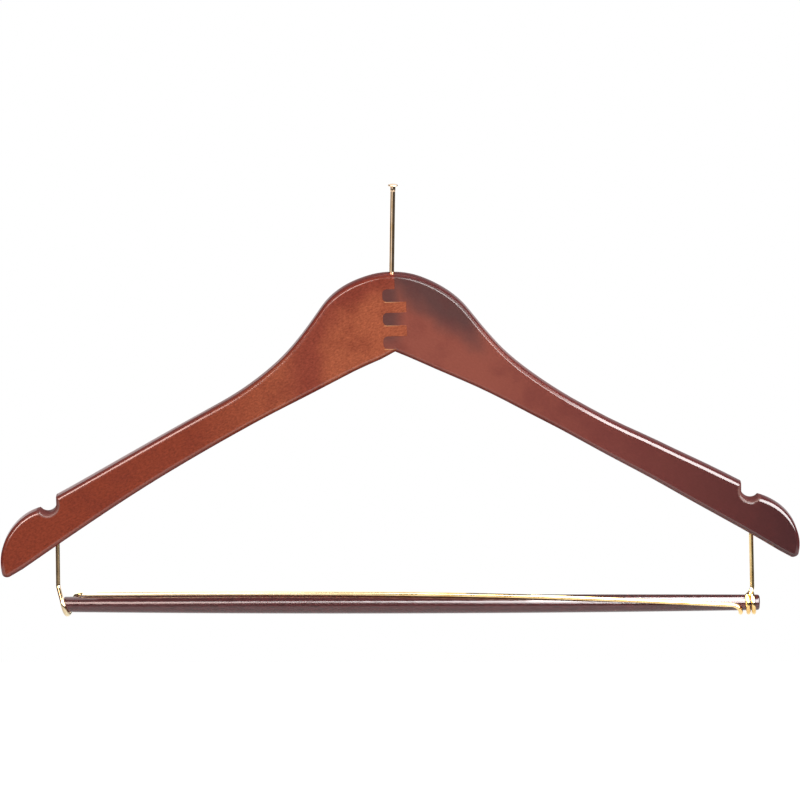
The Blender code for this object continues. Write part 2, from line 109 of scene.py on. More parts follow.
class NodeNet:
    """The nodes of a material or the world, with a short way to add each kind that is used here."""

    def __init__(self, owner: Material | World, shader: str) -> None:
        """Gives a new material or world its nodes.

        Args:
            owner: The material or world.
            shader: The name of the node whose inputs the rest feeds.
        """
        owner.use_nodes = True
        self.tree = owner.node_tree
        self.shader = self.tree.nodes[shader].inputs

    def feed(self, sockets: bpy.types.NodeInputs, values: dict) -> None:
        """Sets or links inputs.

        Args:
            sockets: A node's inputs.
            values: What each gets, by name or number: a value, or an output socket to link.
        """
        for name, value in values.items():
            if isinstance(value, NodeSocket):
                self.tree.links.new(value, sockets[name])
            else:
                sockets[name].default_value = value

    def add_node(
        self, kind: str, inputs: dict, stops: tuple[tuple[float, str], ...] = (), **settings: object
    ) -> bpy.types.NodeOutputs:
        """Adds one node with its settings, input values and links.

        Args:
            kind: The node's type, without the leading "ShaderNode".
            inputs: What its inputs get, as feed takes it.
            stops: A colour ramp's positions and hex colours.
            settings: The node's own properties.

        Returns:
            The node's outputs.
        """
        node = self.tree.nodes.new(f"ShaderNode{kind}")
        for name, value in settings.items():
            setattr(node, name, value)
        self.feed(node.inputs, inputs)
        if stops:
            elements = node.color_ramp.elements
            while len(elements) < len(stops):
                elements.new(1.0)
            for element, (position, code) in zip(elements, stops):
                element.position = position
                element.color = linear(code)
        return node.outputs

    def coordinates(self, kind: str = "Object") -> NodeSocket:
        """One kind of texture coordinates."""
        return self.add_node("TexCoord", {})[kind]

    def split(self, vector: NodeSocket) -> bpy.types.NodeOutputs:
        """A vector's X, Y and Z."""
        return self.add_node("SeparateXYZ", {0: vector})

    def math(self, operation: str, *values: Number) -> NodeSocket:
        """What a Math node makes of one to three numbers."""
        return self.add_node("Math", dict(enumerate(values)), operation=operation)[0]

    def vector(self, operation: str, output: str, *values: object) -> NodeSocket:
        """The named output, Vector or Value, of a VectorMath node on one or two vectors."""
        return self.add_node("VectorMath", dict(enumerate(values)), operation=operation)[output]

    def distance(self, place: NodeSocket, centre: Vector) -> NodeSocket:
        """How far a point lies from a centre, seen from the front."""
        offset = self.vector("SUBTRACT", "Vector", place, centre)
        return self.vector("LENGTH", "Value", self.vector("MULTIPLY", "Vector", offset, (1.0, 0.0, 1.0)))

    def shade(self, colour: NodeSocket, share: NodeSocket) -> NodeSocket:
        """A colour, made darker or lighter by a share."""
        return self.add_node("VectorMath", {0: colour, "Scale": share}, operation="SCALE")[0]

    def tint(self, share: NodeSocket, colour: NodeSocket, code: str) -> NodeSocket:
        """A colour, replaced by a hex colour as far as a share says."""
        return self.add_node("Mix", {0: share, 6: colour, 7: linear(code)}, data_type="RGBA")[2]

    def between(self, share: NodeSocket, first: Number, second: Number) -> NodeSocket:
        """A number between two, nearer to the second as the share grows."""
        return self.add_node("Mix", {0: share, 2: first, 3: second}, data_type="FLOAT")[0]

    def remap(
        self, value: NodeSocket, span: Span, ends: tuple[Number, Number] = (0.0, 1.0), smooth: bool = False
    ) -> NodeSocket:
        """Takes a value from one span to another and holds it at the ends.

        Args:
            value: The value.
            span: Where it starts and stops to matter, the larger first if need be.
            ends: What it gives there.
            smooth: Whether it eases in and out.

        Returns:
            The new value.
        """
        kind = "SMOOTHSTEP" if smooth else "LINEAR"
        return self.add_node("MapRange", dict(enumerate((value, *span, *ends))), interpolation_type=kind)[0]

    def noise(
        self, place: NodeSocket, size: float, detail: float, roughness: float = 0.5, width: float = 0.0
    ) -> NodeSocket:
        """A cloudy pattern.

        Args:
            place: The coordinates.
            size: How big its clouds are, or how long along X where they have a width.
            detail: How many finer layers it has.
            roughness: How strong those are.
            width: How wide drawn-out clouds are.

        Returns:
            Its value, from 0 to 1.
        """
        if width:
            place = self.add_node("Mapping", {0: place, "Scale": (1 / size, 1 / width, 1 / width)})[0]
            size = 1.0
        inputs = {"Vector": place, "Scale": 1 / size, "Detail": detail, "Roughness": roughness}
        return self.add_node("TexNoise", inputs)[0]

    def bump(self, height: NodeSocket, strength: float, depth: float) -> NodeSocket:
        """The normal of a skin that a height pattern dents."""
        return self.add_node("Bump", {"Strength": strength, "Distance": depth, "Height": height})[0]

    def lacquer(self, colour: NodeSocket, coat: Number, roughness: float, skin: NodeSocket) -> None:
        """Sets wood under clear lacquer: a deep colour below, and sharp lights that only the coat has.

        Args:
            colour: The wood's colour.
            coat: How much lacquer there is.
            roughness: How blurred its lights are.
            skin: Its normal.
        """
        wood = {"Base Color": colour, "Roughness": WOOD_ROUGHNESS, "Specular IOR Level": 0.0}
        clear = {"Coat Weight": coat, "Coat Roughness": roughness, "Coat IOR": LACQUER_IOR}
        self.feed(self.shader, wood | clear | {"Coat Normal": skin})


@dataclass(frozen=True)
class Finish:
    """A surface that pieces are made of."""

    name: str

    def material(self) -> Material:
        """Builds the node material.

        Returns:
            The material, named for what the finish is.
        """
        material = bpy.data.materials.new(self.name)
        self.dress(NodeNet(material, "Principled BSDF"))
        return material

    def dress(self, net: NodeNet) -> None:
        """Adds the finish's own nodes."""
        raise NotImplementedError


@dataclass(frozen=True)
class StainedBeech(Finish):
    """Steamed beech, stained red-brown and sprayed with clear gloss lacquer.

    It gives the eye a warm, cloudy stain with beech's short flecks, under lights as sharp as on glass.
    Painted shade darkens the colour towards the tips, on the undersides and on the rims, where stain has also
    soaked in.
    A darker band along the crown is partly dark stain and partly a painted dark reflection. The lacquer is
    worn thin at the neck.
    """

    side: Side
    neck: str
    arm: str
    tip: str
    patch: str
    patch_strength: float
    fleck_strength: float
    crown_band: str
    crown_band_strength: float
    crown_band_span: Span
    crown_band_depth: float
    neck_face_coat: float
    notch_centre: Vector
    fingers: Span
    crown_band_slope: float | None = None
    finger_band: float = 0.0
    joint_highlight_strength: float = 0.0
    underside_coat: float = 0.5
    underside_shade: float = 0.6

    # The colour runs from the neck's tone to the arm's and the tip's, at these shares of the arm's reach.
    # Its darkening towards the tips is painted shade, where the light falls off.
    reach: float = 216 * MM
    neck_share: float = 0.22
    arm_share: float = 0.5
    # Real flecks are about 1.5 by 0.3 mm. A pixel is 0.54 mm, so they are drawn wider to show.
    grain_angle: float = math.radians(29)
    fleck_length: float = 1.7 * MM
    fleck_width: float = 0.9 * MM
    # The stain takes up in clouds a couple of centimetres across.
    patch_size: float = 16 * MM
    patch_span: Span = (0.42, 0.68)
    # Real orange peel is 1 to 5 mm from crest to crest. Its finer end wouldn't show.
    peel_size: float = 5 * MM
    peel_strength: float = 0.03
    peel_depth: float = 0.3 * MM
    lacquer_roughness: float = 0.09
    # Inside the notch the stain is dull and pale and the lacquer thin.
    notch_reach: float = 7.3 * MM
    notch_edge: float = 0.7 * MM
    notch_tone: str = "#8c6a63"
    notch_strength: float = 0.7
    notch_coat: float = 0.25
    # The darker band along the crown, partly dark stain and partly a painted dark reflection, ends in streaks
    # 14 mm across that move its edge to and fro.
    crown_band_centre: Vector = field(default_factory=lambda: Vector((1.15, 0, -95.6)) * MM)
    crown_radius: float = 48.4 * MM
    crown_band_end: float = 54 * MM
    crown_band_fade: float = 0.7
    crown_band_waver: float = 5 * MM
    crown_band_streak: float = 14 * MM
    # The right arm's fingers get the band's darker tone too, least below, from full to none at these shares
    # of their reaches.
    finger_band_low: float = 0.2
    finger_band_shares: Span = (0.3, 1.2)
    # Painted shade, partly stain: the rims darken as they turn from the front, where stain has also soaked
    # in, and the undersides darken as they face down. The spans below are of the normal's share along Y or up
    # Z.
    rim_stain_and_shade: str = "#6e2a2c"
    rim_strength: float = 0.6
    rim_facing: Span = (0.5, 0.95)
    shade_facing: Span = (-0.6, -0.05)
    under_facing: Span = (-0.7, -0.1)
    # Hands have worn the neck's lacquer, most of all on the line where its rim meets its face.
    neck_rim_coat: float = 0.45
    neck_line_coat: float = 0.08
    neck_rim_facing: Span = (0.3, 0.7)
    neck_face_facing: Span = (0.93, 0.96)
    arm_rim_coat: float = 0.4
    arm_rim_facing: Span = (0.35, 0.65)
    wear_span: Span = (78 * MM, 118 * MM)
    # Painted highlight: thin pale lines where the joint's edges under the upper fingers catch the light,
    # fading out towards the fingers' roots.
    joint_highlight: str = "#dd9f70"
    joint_line_top: float = -61.75 * MM
    joint_line_bottom: float = -89 * MM
    joint_line_pitch: float = 12.8 * MM
    joint_highlight_width: float = 0.6 * MM
    joint_highlight_edge: float = 0.06 * MM
    joint_highlight_start: float = 0.9 * MM
    joint_highlight_length: float = 9 * MM
    joint_highlight_fade_from: float = 2.7 * MM

    def dress(self, net: NodeNet) -> None:
        """Adds the stain with its flaws and painted shade, a painted highlight along the joint, and the
        lacquer with its wear.

        Args:
            net: The material's nodes.
        """
        place = net.coordinates()
        across, _, height = net.split(place)
        # Painted shade: the tone darkens from the neck out to the tips.
        stops = ((0.0, self.neck), (self.neck_share, self.neck), (self.arm_share, self.arm), (1.0, self.tip))
        outwards = net.math("MULTIPLY", across, self.side.value / self.reach)
        colour = net.add_node("ValToRGB", {0: outwards}, stops)["Color"]
        colour = self._crown_banded(net, place, colour)
        patches = net.noise(place, self.patch_size, detail=3.0, roughness=0.6)
        patches = net.remap(patches, self.patch_span, (0.0, self.patch_strength), smooth=True)
        colour = net.tint(patches, colour, self.patch)
        turn = (0.0, -self.side.value * self.grain_angle, 0.0)
        turned = net.add_node("Mapping", {0: place, "Rotation": turn})[0]
        flecks = net.noise(turned, self.fleck_length, detail=2.0, roughness=0.7, width=self.fleck_width)
        flecks = net.remap(flecks, NOISE_SPAN, (1 - self.fleck_strength, 1 + self.fleck_strength))
        # Painted highlight: pale lines along the joint's edges under the upper fingers.
        colour = self._joint_highlighted(net, across, height, net.shade(colour, flecks))
        notch = (self.notch_reach - self.notch_edge, self.notch_reach)
        bared = net.remap(net.distance(place, self.notch_centre), notch, (1.0, 0.0))
        colour = net.tint(net.math("MULTIPLY", bared, self.notch_strength), colour, self.notch_tone)
        _, depthwise, upward = net.split(net.add_node("NewGeometry", {})["Normal"])
        flatness = net.math("ABSOLUTE", depthwise)
        # Painted shade: darker where the surface faces down, and on the rims as they turn from the front,
        # partly stain.
        colour = net.shade(colour, net.remap(upward, self.shade_facing, (self.underside_shade, 1.0)))
        rim_darkening = net.remap(flatness, self.rim_facing, (self.rim_strength, 0.0))
        colour = net.tint(rim_darkening, colour, self.rim_stain_and_shade)
        rim = net.remap(flatness, self.neck_rim_facing, (self.neck_rim_coat, self.neck_line_coat))
        neck = net.remap(flatness, self.neck_face_facing, (rim, self.neck_face_coat))
        arm = net.remap(flatness, self.arm_rim_facing, (self.arm_rim_coat, 1.0))
        coat = net.remap(net.math("ABSOLUTE", across), self.wear_span, (neck, arm), smooth=True)
        coat = net.math("MULTIPLY", coat, net.remap(bared, (0.0, 1.0), (1.0, self.notch_coat)))
        coat = net.math("MULTIPLY", coat, net.remap(upward, self.under_facing, (self.underside_coat, 1.0)))
        peel = net.noise(place, self.peel_size, detail=1.0)
        peel = net.bump(peel, self.peel_strength, self.peel_depth)
        net.lacquer(colour, coat, self.lacquer_roughness, peel)

    def _joint_highlighted(
        self, net: NodeNet, across: NodeSocket, height: NodeSocket, colour: NodeSocket
    ) -> NodeSocket:
        """Paints a highlight as thin pale lines where the joint's edges under the upper fingers catch the
        light.

        Args:
            net: The material's nodes.
            across: The object coordinates' X.
            height: Their Z.
            colour: The wood before it.

        Returns:
            The colour with the lines in it.
        """
        if not self.joint_highlight_strength:
            return colour
        below = net.math("SUBTRACT", self.joint_line_top, height)
        phase = net.math("MODULO", below, self.joint_line_pitch)
        share = net.remap(phase, (0.0, self.joint_highlight_width), (self.joint_highlight_strength, 0.0), smooth=True)
        start = self.fingers[0] + self.joint_highlight_start
        masks = [
            (below, (-self.joint_highlight_edge, 0.0)),
            (height, (self.joint_line_bottom, self.joint_line_bottom + self.joint_highlight_width)),
            (across, (start, start + self.joint_highlight_start)),
            (across, (start + self.joint_highlight_length, start + self.joint_highlight_fade_from)),
        ]
        for value, span in masks:
            share = net.math("MULTIPLY", share, net.remap(value, span))
        return net.tint(share, colour, self.joint_highlight)

    def _crown_banded(self, net: NodeNet, place: NodeSocket, colour: NodeSocket) -> NodeSocket:
        """Darkens a band along the crown of the neck, partly dark stain and partly a painted dark reflection.

        Args:
            net: The material's nodes.
            place: The object coordinates.
            colour: The stain before it.

        Returns:
            The colour with the darker band in it.
        """
        across, _, height = net.split(place)
        radius = net.distance(place, self.crown_band_centre)
        depth = radius
        if self.crown_band_slope is not None:
            upwards = (math.sin(self.crown_band_slope), 0.0, math.cos(self.crown_band_slope))
            depth = net.vector("DOT_PRODUCT", "Value", place, upwards)
        streaks = net.noise(place, self.crown_band_streak, detail=2.0)
        waver = net.remap(streaks, NOISE_SPAN, (-self.crown_band_waver / 2, self.crown_band_waver / 2))
        wavering = net.math("ADD", depth, waver)
        band = net.remap(wavering, self.crown_band_span, (0.0, self.crown_band_strength), smooth=True)
        end = (self.crown_band_end * self.crown_band_fade, self.crown_band_end)
        flank = (self.crown_radius, self.crown_radius + self.crown_band_depth)
        share = net.math("MULTIPLY", band, net.remap(across, end, (1.0, 0.0), smooth=True))
        share = net.math("MULTIPLY", share, net.remap(radius, flank, (1.0, 0.0), smooth=True))
        if self.finger_band:
            tips = tuple(reach * part for reach, part in zip(self.fingers, self.finger_band_shares))
            lowest = (self.joint_line_bottom, self.joint_line_bottom + self.joint_line_pitch)
            upper = net.remap(height, lowest, (self.finger_band_low, 1.0), smooth=True)
            fingers = net.remap(across, tips, (self.finger_band, 0.0), smooth=True)
            share = net.math("MAXIMUM", share, net.math("MULTIPLY", fingers, upper))
        return net.tint(share, colour, self.crown_band)


@dataclass(frozen=True)
class OpenPoreBeech(Finish):
    """A turned dowel, stained dark and lacquered thinly.

    It gives the eye a nearly black-brown bar, whose gloss the open pores along it still break up.
    """

    name: str = "stained_dowel_open_pore_lacquer"
    colour: str = "#5b2c2d"
    dark: str = "#43201f"
    dark_at: float = 0.36
    colour_at: float = 0.62
    # Real pores are about 1 by 0.1 mm, too fine to show, so they are drawn a pixel wide and longer.
    pore_length: float = 4.5 * MM
    pore_width: float = 0.55 * MM
    pore_strength: float = 0.25
    pore_depth: float = 0.12 * MM
    lacquer_roughness: float = 0.15

    def dress(self, net: NodeNet) -> None:
        """Adds the stain and the lacquer, with the pores along X.

        Args:
            net: The material's nodes.
        """
        place = net.coordinates()
        pores = net.noise(place, self.pore_length, detail=3.0, roughness=0.65, width=self.pore_width)
        stops = ((self.dark_at, self.dark), (self.colour_at, self.colour))
        tone = net.add_node("ValToRGB", {0: pores}, stops)["Color"]
        net.lacquer(tone, 1.0, self.lacquer_roughness, net.bump(pores, self.pore_strength, self.pore_depth))


@dataclass(frozen=True)
class DrawnBrass(Finish):
    """Brass wire drawn bright.

    It gives the eye warm, nearly mirror-like metal, a little tarnished in clouds and blurred by draw lines.
    """

    bright: str = "#f4d69a"
    tarnished: str = "#d9ad66"
    tarnished_at: float = 0.3
    bright_at: float = 0.6
    # Painted reflection: part of a wire is paled towards white, from full to none along X, for the white it
    # mirrors.
    pale: str = "#fff2cc"
    pale_span: Span | None = None
    pale_strength: float = 0.9
    # Tarnish comes in clouds about a centimetre across.
    tarnish_size: float = 9 * MM
    # Real draw lines are some 0.05 mm wide. They are drawn half a pixel wide, or they wouldn't show.
    line_width: float = 0.25 * MM
    roughness: float = 0.05
    unevenness: float = 0.1

    def dress(self, net: NodeNet) -> None:
        """Adds the tarnish, the paled part that paints a reflection, and the draw lines.

        Args:
            net: The material's nodes.
        """
        place = net.coordinates()
        stops = ((self.tarnished_at, self.tarnished), (self.bright_at, self.bright))
        clouds = net.noise(place, self.tarnish_size, detail=4.0, roughness=0.6)
        colour = net.add_node("ValToRGB", {0: clouds}, stops)["Color"]
        if self.pale_span:
            across = net.split(place)["X"]
            painted_glare = net.remap(across, self.pale_span, (self.pale_strength, 0.0), smooth=True)
            colour = net.tint(painted_glare, colour, self.pale)
        lines = net.noise(place, self.line_width, detail=2.0)
        ends = (self.roughness * (1 - self.unevenness), self.roughness * (1 + self.unevenness))
        polish = net.remap(lines, NOISE_SPAN, ends)
        net.feed(net.shader, {"Base Color": colour, "Roughness": polish, "Metallic": 1.0})


@dataclass(frozen=True)
class MattePaper(Finish):
    """Seamless studio paper, white to the eye and still taking the object's shadow."""

    name: str = "matte_studio_paper"
    colour: str = "#f6f6f5"
    roughness: float = 0.9
    seen_lift: float = 0.5
    mirrored_lift: float = 0.4

    def dress(self, net: NodeNet) -> None:
        """Adds the paper, lifted to white where the eye, a mirror or glass sees it.

        Args:
            net: The material's nodes.
        """
        rays = net.add_node("LightPath", {})
        seen = net.math("MAXIMUM", rays["Is Camera Ray"], rays["Is Transmission Ray"])
        mirrored = net.math("MULTIPLY", rays["Is Glossy Ray"], self.mirrored_lift)
        lift = net.math("MULTIPLY_ADD", seen, self.seen_lift, mirrored)
        paper = {"Base Color": linear(self.colour), "Roughness": self.roughness, "Specular IOR Level": 0.0}
        net.feed(net.shader, paper | {"Emission Color": linear(WHITE), "Emission Strength": lift})


def weld(shape: BMesh) -> None:
    """Joins the points of a shape that lie in one place."""
    bmesh.ops.remove_doubles(shape, verts=shape.verts, dist=WELD)


def shift(shape: BMesh, offset: tuple[float, float, float]) -> None:
    """Moves a whole shape."""
    bmesh.ops.translate(shape, verts=shape.verts, vec=offset)


def turn_about_y(shape: BMesh, angle: float) -> None:
    """Turns a whole shape about the Y axis."""
    turn = Matrix.Rotation(angle, 3, "Y")
    bmesh.ops.rotate(shape, verts=shape.verts, cent=(0, 0, 0), matrix=turn)


def round_edges(shape: BMesh, edges: list[BMEdge], radius: float, segments: int, clamp: bool) -> None:
    """Rounds over edges.

    Args:
        shape: The shape.
        edges: Its edges to round.
        radius: How far the rounding reaches from each.
        segments: How many strips it gets.
        clamp: Whether it stops short of overlapping itself.
    """
    bmesh.ops.bevel(
        shape,
        geom=edges,
        offset=radius,
        offset_type="OFFSET",
        segments=segments,
        profile=0.5,
        affect="EDGES",
        clamp_overlap=clamp,
        material=-1,
    )


def make_piece(
    name: str, shape: BMesh, finish: Finish | None, smooth_angle: float = math.radians(32)
) -> Object:
    """Turns a bmesh into a finished piece at the origin.

    Args:
        name: The piece's name.
        shape: Its shape, freed here.
        finish: What it is made of, or nothing for a cutter or a blank.
        smooth_angle: Edges sharper than this stay sharp.

    Returns:
        The new object.
    """
    weld(shape)
    bmesh.ops.recalc_face_normals(shape, faces=shape.faces)
    mesh = bpy.data.meshes.new(name)
    shape.to_mesh(mesh)
    shape.free()
    mesh.shade_smooth()
    mesh.set_sharp_from_angle(angle=smooth_angle)
    piece = bpy.data.objects.new(name, mesh)
    bpy.context.scene.collection.objects.link(piece)
    if finish:
        mesh.materials.append(finish.material())
    return piece


def apply_cuts(piece: Object, cuts: list[tuple[str, Object]]) -> BMesh:
    """Cuts a piece with others and gives the result as a new bmesh.

    Args:
        piece: The blank, removed here.
        cuts: Pairs of a boolean operation and its cutter.

    Returns:
        The cut shape.
    """
    for operation, cutter in cuts:
        modifier = piece.modifiers.new(cutter.name, "BOOLEAN")
        modifier.solver = "EXACT"
        modifier.operation = operation
        modifier.object = cutter
    bpy.context.view_layer.update()
    mesh = bpy.data.meshes.new_from_object(piece.evaluated_get(bpy.context.evaluated_depsgraph_get()))
    shape = bmesh.new()
    shape.from_mesh(mesh)
    bpy.data.meshes.remove(mesh)
    bpy.data.objects.remove(piece, do_unlink=True)
    return shape


def stand_in(piece: Object, node: str) -> Object:
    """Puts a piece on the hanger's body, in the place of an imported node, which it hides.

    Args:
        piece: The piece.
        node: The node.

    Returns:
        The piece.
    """
    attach(piece, Body.HANGER.value)
    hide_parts(node)
    return piece


class OutlinePen:
    """Draws an outline in the XZ plane: straight runs are extruded and arcs are spun.

    Headings are counted from +X towards +Z, and a turn to the left is positive.
    """

    def __init__(self, shape: BMesh, start: Vector, heading: float) -> None:
        """Puts the pen down.

        Args:
            shape: What it draws in.
            start: Where it starts, as (x, z).
            heading: Which way it faces.
        """
        self.shape = shape
        self.vert = shape.verts.new((start.x, 0, start.y))
        self.heading = heading

    @property
    def place(self) -> Vector:
        """Where the pen is, as (x, z)."""
        return Vector((self.vert.co.x, self.vert.co.z))

    def line(self, length: float, steps: int = 1) -> None:
        """Draws straight on.

        Args:
            length: How far.
            steps: How many edges it takes.
        """
        stride = Vector((math.cos(self.heading), 0, math.sin(self.heading))) * (length / steps)
        for _ in range(steps):
            made = bmesh.ops.extrude_vert_indiv(self.shape, verts=[self.vert])
            self.vert = made["verts"][0]
            bmesh.ops.translate(self.shape, verts=[self.vert], vec=stride)

    def line_to_reach(self, reach: float, steps: int = 1) -> None:
        """Draws straight on until a given X."""
        self.line((reach - self.vert.co.x) / math.cos(self.heading), steps)

    def arc(self, radius: float, turn: float, steps: int) -> None:
        """Draws an arc.

        Args:
            radius: Its radius.
            turn: How far it turns, to the left if positive.
            steps: How many edges it takes.
        """
        left = self.heading + math.copysign(math.pi / 2, turn)
        made = bmesh.ops.spin(
            self.shape,
            geom=[self.vert],
            cent=self.vert.co + Vector((math.cos(left), 0, math.sin(left))) * radius,
            axis=(0, 1, 0),
            angle=-turn,
            steps=steps,
            use_duplicate=False,
        )
        self.vert = next(item for item in made["geom_last"] if isinstance(item, BMVert))
        self.heading += turn

    def arc_to(self, goal: Vector, radius: float, steps: int) -> None:
        """Draws the short arc to a point, turning left.

        Args:
            goal: Where it ends, as (x, z).
            radius: Its radius.
            steps: How many edges it takes.
        """
        chord = goal - self.place
        half_turn = math.asin(chord.length / 2 / radius)
        self.heading = math.atan2(chord.y, chord.x) - half_turn
        self.arc(radius, 2 * half_turn, steps)

    def close(self) -> None:
        """Joins the ends of what is drawn and fills it."""
        self.shape.verts.ensure_lookup_table()
        self.shape.edges.new((self.vert, self.shape.verts[0]))
        bmesh.ops.edgeloop_fill(self.shape, edges=self.shape.edges)


def thicken(shape: BMesh, depth: float) -> None:
    """Gives a flat shape in the XZ plane its depth, half of it to each side.

    Args:
        shape: The shape.
        depth: How deep it gets along Y.
    """
    grown = bmesh.ops.extrude_face_region(shape, geom=list(shape.faces))
    moved = [item for item in grown["geom"] if isinstance(item, BMVert)]
    bmesh.ops.translate(shape, verts=moved, vec=(0, depth, 0))
    shift(shape, (0, -depth / 2, 0))


def spin_profile(profile: list[tuple[float, float]], sides: int) -> BMesh:
    """Turns (radius, height) pairs about Z into a closed shape.

    Args:
        profile: The pairs, from one pole to the other.
        sides: How many facets go round.

    Returns:
        The turned shape.
    """
    shape = bmesh.new()
    verts = [shape.verts.new((radius, 0, height)) for radius, height in profile]
    edges = [shape.edges.new(pair) for pair in zip(verts, verts[1:])]
    bmesh.ops.spin(
        shape,
        geom=verts + edges,
        cent=(0, 0, 0),
        axis=(0, 0, 1),
        angle=math.tau,
        steps=sides,
        use_merge=True,
    )
    weld(shape)
    return shape


def quarter_round(radius: float, height: float, rounding: float, steps: int) -> list[tuple[float, float]]:
    """The profile points of a rounded rim, from its flat end round to its side, going up.

    Args:
        radius: The side's radius.
        height: The end's height.
        rounding: The rim's own radius.
        steps: How many edges it takes.

    Returns:
        (radius, height) pairs.
    """
    angles = [math.pi / 2 * index / steps for index in range(steps + 1)]
    return [
        (radius - rounding * (1 - math.sin(angle)), height + rounding * (1 - math.cos(angle)))
        for angle in angles
    ]


def lean_pin(shape: BMesh) -> None:
    """Leans the pin, or the hole for it, the little that it was driven in out of plumb.

    Args:
        shape: The upright shape of either.
    """
    out_of_plumb = 0.67 * MM
    aside = -0.19 * MM
    turn_about_y(shape, math.atan(out_of_plumb / PIN_SHOWN))
    shift(shape, (aside, 0, 0))


@dataclass(frozen=True)
class Sanding:
    """A place where the belt sander left an edge a little fuller or slacker than the pattern."""

    place: float
    reach: float
    lift: float

    def at(self, x: float) -> float:
        """How far the edge is lifted at a place along the hanger."""
        share = min(1, abs(x - self.place) / self.reach)
        return self.lift * (1 + math.cos(math.pi * share)) / 2


def sanded(*rows: tuple[float, float, float]) -> tuple[Sanding, ...]:
    """The sanding of one edge, from rows of place, reach and lift in millimetres."""
    return tuple(Sanding(*(value * MM for value in row)) for row in rows)


